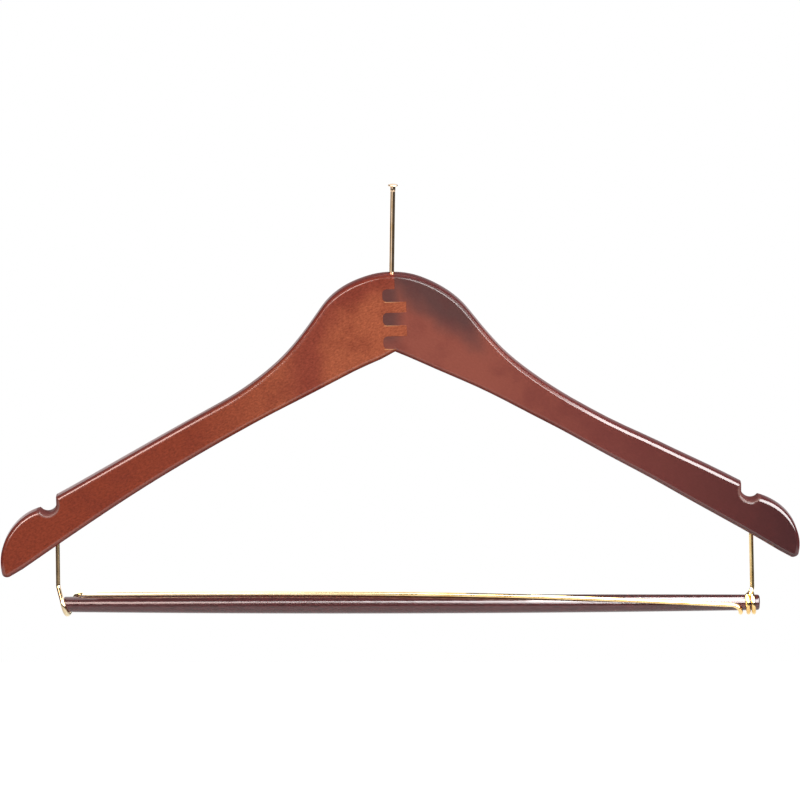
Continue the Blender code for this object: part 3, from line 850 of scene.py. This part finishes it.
@dataclass
class WoodenBody:
    """The two arms: one board outline, rounded over, then parted along the finger joint."""

    width: float = 431.8 * MM
    thickness: float = 12.7 * MM
    # The body hangs this much lower on its left, with its crest this far below the pin's head.
    tilt: float = math.radians(1.36)
    drop: float = PIN_SHOWN
    edge_rounding: float = 2.4 * MM
    edge_segments: int = 10
    # The faces get a ring this far inside their rims, so that they shade flat.
    flat_margin: float = 0.2 * MM
    # The upper edge: crest, straight flank, blend and straight arm.
    crest_radius: float = 48.4 * MM
    shoulder_angle: float = math.radians(53.8)
    flank_length: float = 6.2 * MM
    blend_radius: float = 158 * MM
    arm_angle: float = math.radians(28)
    neck_depth: float = 41.8 * MM
    lower_edge_rise: float = 5.4 * MM
    tip_bottom: float = 163.5 * MM
    tip_start_angle: float = math.radians(14.3)
    tip_side_lean: float = math.radians(10)
    tip_side_length: float = 5.3 * MM
    tip_corner_radius: float = 2.9 * MM
    notch_inset: float = 26.2 * MM
    notch_radius: float = 5.0 * MM
    notch_lip_angle: float = math.radians(37.6)
    notch_wall_share: float = 0.78
    lip_facet: float = 1.8 * MM
    # How many edges the runs of the outline take.
    crest_steps: int = 36
    blend_steps: int = 24
    arm_steps: int = 10
    short_steps: int = 2
    notch_steps: int = 22
    tip_steps: int = 34
    corner_steps: int = 14
    lower_steps: int = 30
    # The finger joint.
    seam_offset: float = 0.6 * MM
    finger_top_drop: float = 7.6 * MM
    finger_height: float = 6.9 * MM
    finger_space: float = 5.9 * MM
    finger_reach_left: float = 6.1 * MM
    finger_reach_right: float = 6.6 * MM
    finger_corner_radius: float = 2.4 * MM
    finger_corner_steps: int = 8
    fingers: int = 3
    glue_line: float = 0.02 * MM
    # The joint's sharp edges on the faces are eased a little. Creases over the crisp angle stay crisp.
    joint_lip: float = 0.14 * MM
    joint_lip_segments: int = 2
    lip_angle: float = math.radians(60)
    crisp_angle: float = math.radians(14)
    # The pin's hole is crushed open at its mouth.
    pin_mouth_radius: float = 1.95 * MM
    pin_mouth_depth: float = 0.6 * MM
    hole_sides: int = 48
    # Work by hand: the arms bow, and the sander left both edges uneven. From this far above the lower edge,
    # all of the lift is the upper edge's.
    arm_bow: float = 0.9 * MM
    sanding_depth: float = 18 * MM
    upper_sanding: tuple[Sanding, ...] = sanded(
        (-200, 25, 0.45),
        (-95, 85, 0.85),
        (-38, 26, 1.6),
        (-12, 20, 0.4),
        (24, 20, -0.8),
        (46, 14, 0.5),
        (78, 22, 0.5),
        (115, 28, -0.9),
        (170, 28, 0.5),
        (202, 16, -0.5),
    )
    lower_sanding: tuple[Sanding, ...] = sanded(
        (-212, 10, 1.0),
        (-178, 52, -0.5),
        (-45, 30, -0.4),
        (-8, 12, -0.6),
        (48, 30, 0.65),
        (112, 30, -0.5),
        (208, 60, 1.6),
        (217, 14, 0.9),
    )

    def _half_outline(self, shape: BMesh) -> Vector:
        """Draws the right half of the outline, from the crest of the neck round to its lower apex.

        Args:
            shape: What it is drawn in.

        Returns:
            The centre of the strap notch, as (x, z).
        """
        half = self.width / 2
        pen = OutlinePen(shape, Vector((0, 0)), 0)
        pen.arc(self.crest_radius, -self.shoulder_angle, self.crest_steps)
        pen.line(self.flank_length, self.short_steps)
        pen.arc(self.blend_radius, self.shoulder_angle - self.arm_angle, self.blend_steps)
        pen.line_to_reach(half - self.notch_inset - self.notch_radius, self.arm_steps)
        pen.heading = -math.pi / 2
        pen.line(self.notch_radius * self.notch_wall_share, self.short_steps)
        notch = pen.place + Vector((self.notch_radius, 0))
        lip_turn = self.lip_facet / self.notch_radius
        pen.arc(self.notch_radius, math.pi - self.notch_lip_angle - lip_turn, self.notch_steps)
        pen.arc(self.notch_radius, lip_turn, 1)
        pen.heading = -self.tip_start_angle
        start = math.pi / 2 - self.tip_start_angle
        tip_radius = (half - pen.place.x) / (1 - math.cos(start))
        tip_turn = self.lip_facet / tip_radius
        pen.arc(tip_radius, -tip_turn, 1)
        pen.arc(tip_radius, -(start + self.tip_side_lean - tip_turn), self.tip_steps)
        apex = Vector((0, -self.neck_depth))
        side = Vector((math.cos(pen.heading), math.sin(pen.heading)))
        chord = apex - (pen.place + side * self.tip_side_length)
        lower_radius = chord.length**2 / (8 * self.lower_edge_rise) + self.lower_edge_rise / 2
        lower_heading = math.atan2(chord.y, chord.x) - math.asin(chord.length / 2 / lower_radius)
        corner_turn = math.tau + pen.heading - lower_heading
        pen.line(self.tip_side_length - self.tip_corner_radius * math.tan(corner_turn / 2))
        pen.arc(self.tip_corner_radius, -corner_turn, self.corner_steps)
        pen.arc_to(apex, lower_radius, self.lower_steps)
        return notch

    def _lower_edge_height(self, share: float) -> float:
        """The lower edge's height at a share of the way from the neck to a tip."""
        drop = self.tip_bottom - self.neck_depth
        return -self.neck_depth - drop * share + self.lower_edge_rise * 4 * share * (1 - share)

    def _blank(self) -> BMesh:
        """Makes the glued-up body before it is parted, in its own frame.

        Returns:
            The body, rounded over, bowed and sanded.
        """
        shape = bmesh.new()
        self._half_outline(shape)
        half = list(shape.verts) + list(shape.edges)
        bmesh.ops.mirror(shape, geom=half, axis="X", merge_dist=WELD)
        weld(shape)
        bmesh.ops.edgeloop_fill(shape, edges=shape.edges)
        thicken(shape, self.thickness)
        rims = [edge for edge in shape.edges if len({round(vert.co.y, 5) for vert in edge.verts}) == 1]
        round_edges(shape, rims, self.edge_rounding, self.edge_segments, clamp=False)
        faces = sorted(shape.faces, key=lambda face: face.calc_area())[-2:]
        bmesh.ops.inset_individual(shape, faces=faces, thickness=self.flat_margin, use_even_offset=True)
        for vert in shape.verts:
            vert.co.z += self._sanding(vert.co.x, vert.co.z)
        return shape

    def _sanding(self, x: float, z: float) -> float:
        """How far a point of the body is lifted by the bow and the sanding.

        Args:
            x: The point's X in the body's own frame.
            z: Its Z there.

        Returns:
            The lift, up if positive.
        """
        share = abs(x) / (self.width / 2)
        peak = 4 / 27  # the highest value that the bow's cubic has
        bow = self.arm_bow * share**2 * (1 - share) / peak
        upper = min(1, max(0, (z - self._lower_edge_height(share)) / self.sanding_depth))
        high = sum(sanding.at(x) for sanding in self.upper_sanding)
        low = sum(sanding.at(x) for sanding in self.lower_sanding)
        return low + (high - low) * upper - math.copysign(bow, x)

    def _notch_centre(self, side: Side) -> Vector:
        """The middle of an arm's strap notch, in the hanger's frame.

        Args:
            side: Which arm.

        Returns:
            The point.
        """
        scratch = bmesh.new()
        notch = self._half_outline(scratch)
        scratch.free()
        x = side.value * notch.x
        point = Vector((x, 0, notch.y + self._sanding(x, notch.y)))
        point.rotate(Matrix.Rotation(-self.tilt, 3, "Y"))
        return point - Vector((0, 0, self.drop))

    def _joint_region(self, grow: float) -> Object:
        """The space of the right arm and its fingers.

        Args:
            grow: How far it is grown, or shrunk if negative.

        Returns:
            The cutter.
        """
        shape = bmesh.new()
        far = self.width
        seam = self.seam_offset - grow
        corner = self.finger_corner_radius
        right = math.pi / 2
        pen = OutlinePen(shape, Vector((far, far)), math.pi)
        pen.line(far - seam)
        pen.heading += right
        pen.line(far + self.finger_top_drop - grow)
        for index in range(self.fingers):
            last = index == self.fingers - 1
            upper_root = self.finger_reach_right if index else self.seam_offset
            lower_root = self.seam_offset if last else self.finger_reach_right
            pen.heading -= right
            pen.line(upper_root + self.finger_reach_left - corner)
            pen.arc(corner, right, self.finger_corner_steps)
            pen.line(self.finger_height + 2 * grow - 2 * corner)
            pen.arc(corner, right, self.finger_corner_steps)
            pen.line(lower_root + self.finger_reach_left - corner)
            pen.heading -= right
            pen.line(far if last else self.finger_space - 2 * grow)
        pen.heading += right
        pen.line(far - seam)
        pen.close()
        thicken(shape, 2 * self.thickness)
        return make_piece("joint_cutter", shape, None)

    def _arm(self, side: Side, hole: Object, finish: StainedBeech) -> Object:
        """Cuts one arm out of the blank.

        Args:
            side: Which arm.
            hole: The cutter of the pin's hole.
            finish: Its wood.

        Returns:
            The finished arm.
        """
        node = f"{side.name.lower()}_arm"
        region = self._joint_region(self.glue_line / 2 * -side.value)
        operation = "INTERSECT" if side is Side.RIGHT else "DIFFERENCE"
        blank = make_piece(f"{node}_blank", self._blank(), None)
        shape = apply_cuts(blank, [(operation, region)])
        bpy.data.objects.remove(region, do_unlink=True)
        weld(shape)
        lips = [
            edge
            for edge in shape.edges
            if len(edge.link_faces) == 2
            and edge.calc_face_angle() > self.lip_angle
            and abs(edge.verts[0].co.y - edge.verts[1].co.y) < WELD
        ]
        round_edges(shape, lips, self.joint_lip, self.joint_lip_segments, clamp=True)
        turn_about_y(shape, -self.tilt)
        shift(shape, (0, 0, -self.drop))
        parted = make_piece(f"{node}_parted", shape, None)
        drilled = apply_cuts(parted, [("DIFFERENCE", hole)])
        return stand_in(make_piece(f"{node}_wood", drilled, finish, self.crisp_angle), node)

    def _pin_hole(self, radius: float, depth: float) -> Object:
        """The cutter of the pin's hole with its slightly crushed mouth.

        Args:
            radius: The hole's radius.
            depth: How deep it goes below the crest.

        Returns:
            The cutter.
        """
        mouth = self.pin_mouth_radius
        profile = [(0, -depth), (radius, -depth), (radius, -self.pin_mouth_depth), (mouth, 0)]
        profile += [(mouth, self.thickness), (0, self.thickness)]
        shape = spin_profile(profile, self.hole_sides)
        shift(shape, (0, 0, -self.drop))
        lean_pin(shape)
        return make_piece("pin_hole", shape, None)

    def build(self, pin_radius: float, pin_depth: float) -> list[Object]:
        """Builds and dresses both arms.

        Args:
            pin_radius: The radius of the pin's hole.
            pin_depth: The depth of the pin's hole.

        Returns:
            The left and the right arm.
        """
        hole = self._pin_hole(pin_radius, pin_depth)
        fingers = (-self.finger_reach_left, self.finger_reach_right)
        left = StainedBeech(
            name="stained_beech_gloss_lacquer_left",
            side=Side.LEFT,
            neck="#a8583c",
            arm="#8b3d29",
            tip="#8d3d29",
            patch="#7c3427",
            patch_strength=0.42,
            fleck_strength=0.28,
            crown_band="#863a2e",
            crown_band_strength=0.8,
            crown_band_span=(33 * MM, 45 * MM),
            crown_band_depth=18 * MM,
            neck_face_coat=1.0,
            notch_centre=self._notch_centre(Side.LEFT),
            fingers=fingers,
            joint_highlight_strength=1.0,
            underside_coat=0.1,
            underside_shade=0.5,
        )
        right = StainedBeech(
            name="stained_beech_gloss_lacquer_right",
            side=Side.RIGHT,
            neck="#935043",
            arm="#7c3f38",
            tip="#4c2829",
            patch="#6a3230",
            patch_strength=0.3,
            fleck_strength=0.07,
            # Painted dark reflection: the grey-brown band along the right shoulder.
            crown_band="#5c3f3d",
            crown_band_strength=0.95,
            crown_band_span=(-52 * MM, -38 * MM),
            crown_band_depth=8 * MM,
            neck_face_coat=0.5,
            notch_centre=self._notch_centre(Side.RIGHT),
            fingers=fingers,
            crown_band_slope=math.radians(36.3),
            finger_band=0.85,
        )
        arms = [self._arm(Side.LEFT, hole, left), self._arm(Side.RIGHT, hole, right)]
        bpy.data.objects.remove(hole, do_unlink=True)
        return arms


@dataclass
class SecurityPin:
    """The captive brass pin: a nail head, a bright collar and a plain shank driven into the neck."""

    shown: float = PIN_SHOWN
    hidden: float = 24 * MM
    radius: float = 1.33 * MM
    tip_taper: float = 1.6 * MM
    tip_radius: float = 0.66 * MM
    collar_radius: float = 1.43 * MM
    collar_length: float = 2.6 * MM
    collar_rounding: float = 0.25 * MM
    collar_steps: int = 4
    head_radius: float = 2.65 * MM
    head_rim: float = 0.75 * MM
    head_dome: float = 0.45 * MM
    rim_rounding: float = 0.3 * MM
    rim_steps: int = 6
    hole_clearance: float = 0.05 * MM
    sides: int = 48

    def build(self) -> Object:
        """Turns the pin and dresses it in brass.

        Returns:
            The finished pin.
        """
        bottom = -self.shown - self.hidden
        taper_end = bottom + self.tip_taper
        collar = -self.collar_length
        edge = self.collar_rounding
        profile = [(0, bottom), (self.tip_radius, bottom)]
        for height in (taper_end, taper_end + edge, collar - 2 * edge, collar - edge):
            profile.append((self.radius, height))
        rim = quarter_round(self.collar_radius, collar, edge, self.collar_steps)
        profile += rim[self.collar_steps // 2 :]
        profile += [(self.collar_radius, -edge), (self.collar_radius, 0)]
        profile += quarter_round(self.head_radius, 0, self.rim_rounding, self.rim_steps)
        top = quarter_round(self.head_radius, -self.head_rim, self.rim_rounding, self.rim_steps)
        profile += [(radius, -height) for radius, height in reversed(top)]
        flat = self.head_radius - self.rim_rounding
        for index in reversed(range(self.rim_steps)):
            share = index / self.rim_steps
            profile.append((flat * share, self.head_rim + self.head_dome * (1 - share**2)))
        shape = spin_profile(profile, self.sides)
        lean_pin(shape)
        brass = DrawnBrass("polished_brass_pin", bright="#fbdab8", tarnished="#e6bb88")
        return stand_in(make_piece("security_pin_brass", shape, brass), "security_pin")


@dataclass
class TrouserBar:
    """The turned bar, and what a wire needs to know to be wound on it."""

    left: float = -178.65 * MM
    right: float = 198.4 * MM
    # The axis starts at this height on the left, rises by the rise and sags between the ends.
    height: float = -229.18 * MM
    rise: float = 1.15 * MM
    sag: float = 0.44 * MM
    middle_radius: float = 5.1 * MM
    end_radius: float = 4.2 * MM
    end_rounding: float = 1.2 * MM
    end_steps: int = 8
    steps: int = 60
    sides: int = 64

    def axis_height(self, x: float) -> float:
        """The height of the bar's axis at a place along it."""
        share = (x - self.left) / (self.right - self.left)
        return self.height + self.rise * share - self.sag * 4 * share * (1 - share)

    def radius(self, x: float) -> float:
        """The bar's radius at a place along it."""
        share = (2 * x - self.left - self.right) / (self.right - self.left)
        return self.end_radius + (self.middle_radius - self.end_radius) * max(0, 1 - share**2)

    def build(self) -> Object:
        """Turns the bar along X and dresses it.

        Returns:
            The finished bar.
        """
        ends = quarter_round(self.end_radius, self.left, self.end_rounding, self.end_steps)
        profile = [(0, self.left)] + ends
        inner = self.right - self.left - 2 * self.end_rounding
        for index in range(1, self.steps):
            x = self.left + self.end_rounding + inner * index / self.steps
            profile.append((self.radius(x), x))
        profile += [(radius, self.left + self.right - x) for radius, x in reversed(ends)]
        profile.append((0, self.right))
        shape = spin_profile(profile, self.sides)
        turn_about_y(shape, math.pi / 2)
        for vert in shape.verts:
            vert.co.z += self.axis_height(vert.co.x)
        return stand_in(make_piece("trouser_bar_dowel", shape, OpenPoreBeech()), "trouser_bar")


def rounded_path(corners: list[tuple[Vector, float]], step: float) -> list[Vector]:
    """Points along straight runs whose corners are replaced by arcs.

    Args:
        corners: (point, radius) pairs, with a radius of zero where the corner stays sharp.
        step: The largest turn between two points of an arc.

    Returns:
        The path's points, from the first corner to the last.
    """
    least_turn = math.radians(0.2)
    points = [corners[0][0].copy()]
    for (before, _), (corner, radius), (after, _) in zip(corners, corners[1:], corners[2:]):
        back = (before - corner).normalized()
        on = (after - corner).normalized()
        turn = math.pi - back.angle(on)
        if not radius or turn < least_turn:
            points.append(corner.copy())
            continue
        reach = radius * math.tan(turn / 2)
        centre = corner + (back + on).normalized() * (radius / math.cos(turn / 2))
        start = corner + back * reach - centre
        end = corner + on * reach - centre
        steps = max(2, math.ceil(turn / step))
        points.append(corner + back * (reach + RUN_END))
        for index in range(steps + 1):
            share = index / steps
            weight_start = math.sin((1 - share) * turn) / math.sin(turn)
            weight_end = math.sin(share * turn) / math.sin(turn)
            points.append(centre + start * weight_start + end * weight_end)
        points.append(corner + on * (reach + RUN_END))
    points.append(corners[-1][0].copy())
    apart = [point for point, after in zip(points, points[1:]) if (after - point).length > WELD]
    return apart + points[-1:]


@dataclass
class BrassWire:
    """A round brass wire on the trouser bar, and the winding that both wires share."""

    bar: TrouserBar
    radius: float = 1.19 * MM
    seat_gap: float = 0.04 * MM
    socket_depth: float = 11 * MM
    elbow_radius: float = 4 * MM
    bend_radius: float = 12 * MM
    step: float = math.radians(5)
    bevel_resolution: int = 5

    def winding_radius(self, x: float) -> float:
        """How far the wire's middle lies from the bar's axis where it hugs the bar."""
        return self.bar.radius(x) + self.seat_gap + self.radius

    def wound_point(self, x: float, angle: float) -> Vector:
        """A point of the wire on the bar, its angle counted from the top over to the front."""
        radius = self.winding_radius(x)
        return Vector((x, -radius * math.sin(angle), self.bar.axis_height(x) + radius * math.cos(angle)))

    def wind(self, corners: list[tuple[Vector, float]], reference: float) -> list[Vector]:
        """Rolls a route drawn flat, as (along, around), on to the bar.

        Args:
            corners: Its (point, radius) pairs.
            reference: The winding radius that turns a flat distance into an angle.

        Returns:
            The wire's points on the bar.
        """
        path = rounded_path(corners, self.step)
        flat = []
        for start, end in zip(path, path[1:]):
            pieces = max(1, math.ceil(abs(end.y - start.y) / (reference * self.step)))
            flat += [start.lerp(end, index / pieces) for index in range(pieces)]
        flat.append(path[-1])
        return [self.wound_point(point.x, point.y / reference) for point in flat]

    def contact_angle(self, x: float, rise: float) -> float:
        """Where a wire that leaves the middle plane a rise above the bar's axis first lies on the bar."""
        return math.acos(self.winding_radius(x) / rise)

    def hanging_part(
        self, place: float, drift: float, exit_height: float, rise: float, first: Vector
    ) -> list[Vector]:
        """The wire from its socket in the arm down to the bar.

        Args:
            place: The socket's X.
            drift: How far it drifts along X on its way down.
            exit_height: The height at which it leaves the wood.
            rise: How high above the bar's axis its elbow is.
            first: The first point on the bar.

        Returns:
            Its points, without that first one.
        """
        corners = [
            (Vector((place, 0, exit_height + self.socket_depth)), 0),
            (Vector((place, 0, exit_height)), self.bend_radius),
            (Vector((place + drift, 0, self.bar.axis_height(place + drift) + rise)), self.elbow_radius),
            (first, 0),
        ]
        return rounded_path(corners, self.step)[:-1]

    def tube(self, name: str, route: list[Vector], finish: DrawnBrass) -> Object:
        """Runs the wire's round section along a route and leaves it as a mesh.

        Args:
            name: The piece's name.
            route: The points of its middle line.
            finish: Its brass.

        Returns:
            The finished wire.
        """
        curve = bpy.data.curves.new(name, "CURVE")
        curve.dimensions = "3D"
        curve.bevel_depth = self.radius
        curve.bevel_resolution = self.bevel_resolution
        curve.use_fill_caps = True
        spline = curve.splines.new("POLY")
        spline.points.add(len(route) - 1)
        for point, place in zip(spline.points, route):
            point.co = (*place, 1)
        holder = bpy.data.objects.new(f"{name}_curve", curve)
        bpy.context.scene.collection.objects.link(holder)
        return make_piece(name, apply_cuts(holder, []), finish)


@dataclass
class LeftWire(BrassWire):
    """The left wire down to and round the bar's end, and its free length that locks the trousers."""

    place: float = -181.5 * MM
    exit_height: float = -194.51 * MM
    elbow_rise: float = 10 * MM
    wrap_lean: float = math.radians(15)
    run_out_radius: float = 9 * MM
    # The free length starts inside the end of the fixed one, at the hinge.
    hinge: Vector = field(default_factory=lambda: Vector((-159.309, 0, -222.616)) * MM)
    overlap: float = 0.3 * MM
    flex_length: float = 90 * MM
    hook: float = 188.15 * MM
    hook_start: float = 6.5 * MM
    hook_radius: float = 5.5 * MM
    hook_end_angle: float = math.radians(186)
    # It winds to the bar's front, slowly first and faster towards the hook.
    front_angle: float = math.radians(90)
    wind_power: float = 2.2
    wind_steps: int = 120

    def wrap_route(self) -> list[Vector]:
        """Goes down from the arm, past the bar's end, round under it and out along its top.

        Returns:
            The points of the wire's middle line.
        """
        around = self.winding_radius(self.bar.left)
        start_angle = self.contact_angle(self.place, self.elbow_rise)
        slack = math.sqrt(self.elbow_rise**2 - around**2)
        lean = math.tan(self.wrap_lean)
        start = Vector((self.place + lean * slack, start_angle * around))
        top = math.tau * around
        turn = Vector((start.x + lean * (top - start.y), top))
        end = Vector((self.hinge.x, top))
        wound = self.wind([(start, 0), (turn, self.run_out_radius), (end, 0)], around)
        return self.hanging_part(self.place, 0, self.exit_height, self.elbow_rise, wound[0]) + wound

    def lock_route(self) -> list[Vector]:
        """Goes along the bar from the wrap, winding from its top to its front, and hooks under it.

        Returns:
            The points of the wire's middle line.
        """
        start = self.hinge.x - self.overlap
        hook_start = self.hook - self.hook_start
        around = self.winding_radius(self.hook)
        corners = []
        for index in range(self.wind_steps + 1):
            share = index / self.wind_steps
            angle = self.front_angle * share**self.wind_power
            corners.append((Vector((start + (hook_start - start) * share, angle * around)), 0))
        corners.append((Vector((self.hook, self.front_angle * around)), self.hook_radius))
        corners.append((Vector((self.hook, self.hook_end_angle * around)), 0))
        return self.wind(corners, around)

    def build(self) -> list[Object]:
        """Builds the fixed wrap and the springy locking wire, which starts inside its end.

        Returns:
            The two pieces.
        """
        # Painted shade: the left wire's brass is a copy of the drawn brass a quarter darker, for the darker
        # reflections it shows, and its run-out at the bar's end is paled as a painted reflection.
        brass = DrawnBrass(
            "drawn_brass_left_wire",
            bright="#ba9d77",
            tarnished="#9b7f5f",
            pale_span=(-172 * MM, -182 * MM),
        )
        wrap = self.tube("left_support_wire_brass", self.wrap_route(), brass)
        # Painted reflection: the lock wire is paled towards its left end.
        brass = DrawnBrass("drawn_brass_lock_wire", pale_span=(-130 * MM, 60 * MM))
        lock = self.tube("lock_wire_brass", self.lock_route(), brass)
        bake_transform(lock)
        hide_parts("lock_wire")
        return [stand_in(wrap, "left_support_wire"), lock]


@dataclass
class RightWire(BrassWire):
    """The right wire, down from the arm and nearly twice round the bar in a close coil."""

    place: float = 193.4 * MM
    exit_height: float = -190.32 * MM
    drift: float = 1.0 * MM
    elbow_rise: float = 6.6 * MM
    first_turn: float = 191.4 * MM
    coil_gap: float = 0.55 * MM
    coil_end_angle: float = math.radians(600)

    def route(self) -> list[Vector]:
        """Goes down from the arm and round the bar.

        Returns:
            The points of the wire's middle line.
        """
        around = self.winding_radius(self.first_turn)
        start_angle = self.contact_angle(self.first_turn, self.elbow_rise)
        lean = (2 * self.radius + self.coil_gap) / (math.tau * around)
        flat = []
        for angle in (start_angle, self.coil_end_angle):
            x = self.first_turn + lean * (angle - start_angle) * around
            flat.append((Vector((x, angle * around)), 0))
        wound = self.wind(flat, around)
        return self.hanging_part(self.place, self.drift, self.exit_height, self.elbow_rise, wound[0]) + wound

    def build(self) -> Object:
        """Builds the wire.

        Returns:
            The finished wire.
        """
        wire = self.tube("right_support_wire_brass", self.route(), DrawnBrass("drawn_brass_right_wire"))
        return stand_in(wire, "right_support_wire")


class LampRole(Enum):
    """What a lamp does in the studio: it lights surfaces, or it is only mirrored in gloss and metal."""

    LIGHT = "light"
    CARD = "card"


def area_lamp(name: str, role: LampRole, size: Span, radiance: float) -> Object:
    """Makes a rectangular lamp that shines down its own Z.

    Args:
        name: Its name.
        role: What it does.
        size: Its size along its own X and Y.
        radiance: How bright its face is, where 1 is as bright as white paper in full light.

    Returns:
        The lamp, at the origin.
    """
    lamp = bpy.data.lights.new(name, "AREA")
    lamp.shape = "RECTANGLE"
    lamp.size, lamp.size_y = size
    lamp.energy = radiance * math.pi * size[0] * size[1]
    holder = bpy.data.objects.new(name, lamp)
    holder.visible_camera = False
    holder.visible_diffuse = role is LampRole.LIGHT
    holder.visible_glossy = role is LampRole.CARD
    bpy.context.scene.collection.objects.link(holder)
    return holder


@dataclass(frozen=True)
class Softbox:
    """A rectangular soft source that faces the hanger, named for where it is or is mirrored.

    Its azimuth and elevation are in degrees from the front, to the right and upwards.
    """

    name: str
    role: LampRole
    azimuth: float
    elevation: float
    distance: float
    size: Span
    radiance: float
    colour: str = WHITE

    def build(self, centre: Vector) -> None:
        """Hangs the source.

        Args:
            centre: What it faces.
        """
        azimuth = math.radians(self.azimuth)
        elevation = math.radians(self.elevation)
        level = math.cos(elevation)
        out = Vector((math.sin(azimuth) * level, -math.cos(azimuth) * level, math.sin(elevation)))
        holder = area_lamp(self.name, self.role, self.size, self.radiance)
        holder.data.color = linear(self.colour)[:3]
        holder.location = centre + out * self.distance
        holder.rotation_euler = out.to_track_quat("Z", "Y").to_euler()


@dataclass(frozen=True)
class Strip:
    """A narrow reflector that hangs level over the trouser bar and is mirrored in it and its wires."""

    name: str
    along: Span
    across: Span
    height: float
    radiance: float

    def build(self) -> None:
        """Hangs the strip."""
        (left, right), (front, back) = self.along, self.across
        holder = area_lamp(self.name, LampRole.CARD, (right - left, back - front), self.radiance)
        holder.location = ((left + right) / 2, (front + back) / 2, self.height)


@dataclass
class Studio:
    """A white paper floor, soft lamps, and the camera that looks slightly down from the front."""

    centre: Vector = field(default_factory=lambda: Vector((3.63, 0, -116.39)) * MM)
    camera_distance: float = 2979 * MM
    camera_elevation: float = math.radians(11)
    camera_span: float = 430.37 * MM
    sensor: float = 36.0
    clip_end: float = 100.0
    floor_height: float = -750 * MM
    floor_size: float = 2000 * MM
    # How bright the room is: as light, mirrored in front, and mirrored above and behind.
    diffuse_level: float = 0.6
    room_level: float = 0.08
    ceiling_level: float = 0.35
    # Where the mirrored white backdrop and the ceiling begin and are full, along Y and up Z.
    backdrop_back: Span = (0.8, 0.95)
    backdrop_up: Span = (-0.08, 0.24)
    ceiling_back: Span = (-0.4, 0.1)
    ceiling_up: Span = (0.3, 0.6)

    def _floor(self) -> None:
        """Lays the paper."""
        shape = bmesh.new()
        bmesh.ops.create_grid(shape, x_segments=1, y_segments=1, size=self.floor_size)
        shift(shape, (0, 0, self.floor_height))
        make_piece("studio_floor", shape, MattePaper())

    def _world(self) -> None:
        """White where it is looked at; in gloss and metal white behind, and a dim room in front and above."""
        world = bpy.data.worlds.new("studio_room")
        bpy.context.scene.world = world
        net = NodeNet(world, "Background")
        rays = net.add_node("LightPath", {})
        _, backward, upward = net.split(net.coordinates("Generated"))
        behind = net.remap(backward, self.backdrop_back, smooth=True)
        backdrop = net.math("MULTIPLY", behind, net.remap(upward, self.backdrop_up, (1.0, 0.0), smooth=True))
        above = net.remap(upward, self.ceiling_up, smooth=True)
        ceiling = net.math("MULTIPLY", above, net.remap(backward, self.ceiling_back, smooth=True))
        room = net.between(ceiling, self.room_level, self.ceiling_level)
        mirrored = net.between(backdrop, room, 1.0)
        lit = net.between(rays["Is Glossy Ray"], self.diffuse_level, mirrored)
        seen = net.math("MAXIMUM", rays["Is Camera Ray"], rays["Is Transmission Ray"])
        net.feed(net.shader, {"Color": linear(WHITE), "Strength": net.between(seen, lit, 1.0)})

    def _lamps(self) -> None:
        """Hangs the key light, and the cards and strips that gloss and metal mirror."""
        card = LampRole.CARD
        warm = "#ffe3da"
        # Each one's name and role, azimuth, elevation and distance, size, radiance and colour.
        softboxes = [
            Softbox("light_front_right", LampRole.LIGHT, 30, 40, 1.6, (0.9, 0.9), 6.5),
            Softbox("card_right", card, 42, 28, 0.95, (1.34, 0.86), 16),
            Softbox("card_head", card, 180, 68, 0.16, (0.08, 0.08), 0.85),
            Softbox("card_middle", card, -7, 38, 1.0, (0.2, 0.3), 6),
            Softbox("card_left", card, -32, 27, 1.0, (0.75, 0.5), 11, warm),
            Softbox("card_left_tip", card, -46, 10, 1.0, (0.3, 0.36), 10, warm),
            Softbox("card_pin", card, -32, -4, 1.0, (0.95, 0.14), 0.8),
            Softbox("card_wrap", card, -140, -10, 0.6, (0.5, 0.3), 0.9),
            Softbox("card_right_wire", card, -2, -17, 1.0, (0.25, 0.07), 1.3),
        ]
        for softbox in softboxes:
            softbox.build(self.centre)
        # Each one's name, where it lies along X and Y, its height and its radiance.
        strips = [
            Strip("strip_bar_right", (75 * MM, 192 * MM), (-40 * MM, -2 * MM), -199 * MM, 20),
            Strip("strip_bar_left", (-250 * MM, 40 * MM), (8 * MM, 110 * MM), -197 * MM, 1.6),
            Strip("strip_run_out", (-182 * MM, -162 * MM), (-8 * MM, 8 * MM), -199 * MM, 1.6),
        ]
        for strip in strips:
            strip.build()

    def _camera(self) -> None:
        """Sets the camera up at the photograph's angle."""
        lens = bpy.data.cameras.new("camera")
        lens.sensor_width = self.sensor
        lens.lens = self.sensor * self.camera_distance / self.camera_span
        lens.clip_end = self.clip_end
        camera = bpy.data.objects.new("camera", lens)
        back = Vector((0, -math.cos(self.camera_elevation), math.sin(self.camera_elevation)))
        camera.location = self.centre + back * self.camera_distance
        camera.rotation_euler = (math.pi / 2 - self.camera_elevation, 0, 0)
        bpy.context.scene.collection.objects.link(camera)
        bpy.context.scene.camera = camera

    def build(self) -> None:
        """Builds floor, room, lamps and camera."""
        self._floor()
        self._world()
        self._lamps()
        self._camera()
        bpy.context.scene.view_settings.view_transform = "Standard"


def main() -> None:
    """Builds every piece of the hanger and the studio round it."""
    logging.basicConfig(level=logging.INFO, format="%(name)s: %(message)s")
    pin = SecurityPin()
    bar = TrouserBar()
    pieces = WoodenBody().build(pin.radius + pin.hole_clearance, pin.hidden + pin.hole_clearance)
    pieces.append(pin.build())
    pieces.append(bar.build())
    pieces += LeftWire(bar).build()
    pieces.append(RightWire(bar).build())
    for piece in pieces:
        log.info("%s: %d faces", piece.name, len(piece.data.polygons))
    Studio().build()


if __name__ == "__main__":
    main()
